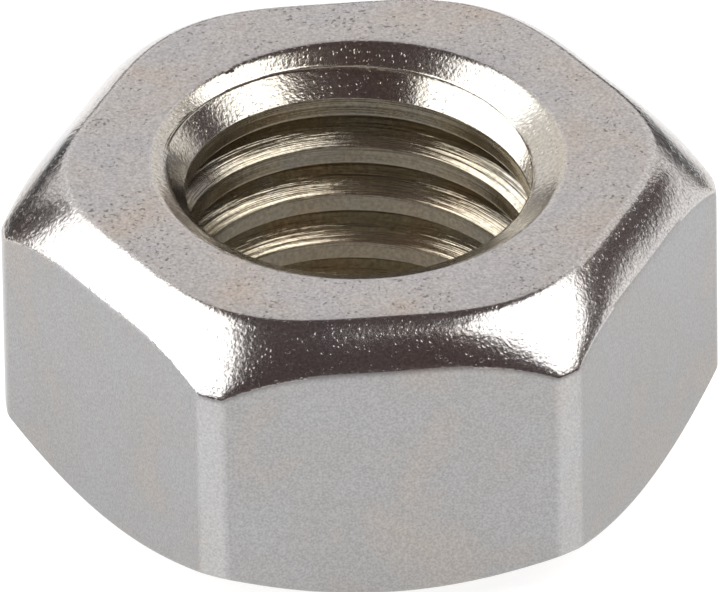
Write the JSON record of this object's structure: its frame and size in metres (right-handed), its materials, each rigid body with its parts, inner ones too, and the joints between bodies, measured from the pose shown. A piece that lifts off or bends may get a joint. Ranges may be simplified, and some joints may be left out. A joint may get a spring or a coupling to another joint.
{
  "type": "hex nut",
  "caption": "Hexagonal steel nut with a right-hand threaded through bore, countersunk mouths, round bearing faces and drawn-in shoulders.",
  "frame": {"origin": "centre of the lower bearing face, on the thread's axis", "axes": "+Z along the thread's axis; corners on +X and -X; wrench flats face +Y and -Y"},
  "size_m": [0.0216, 0.019, 0.0098],
  "materials": {
    "zinc_plated_steel": "bright zinc plating with a faint passivation tint over cold-formed steel"
  },
  "bodies": {
    "root": {"nut_body": "zinc_plated_steel"}
  },
  "joints": []
}
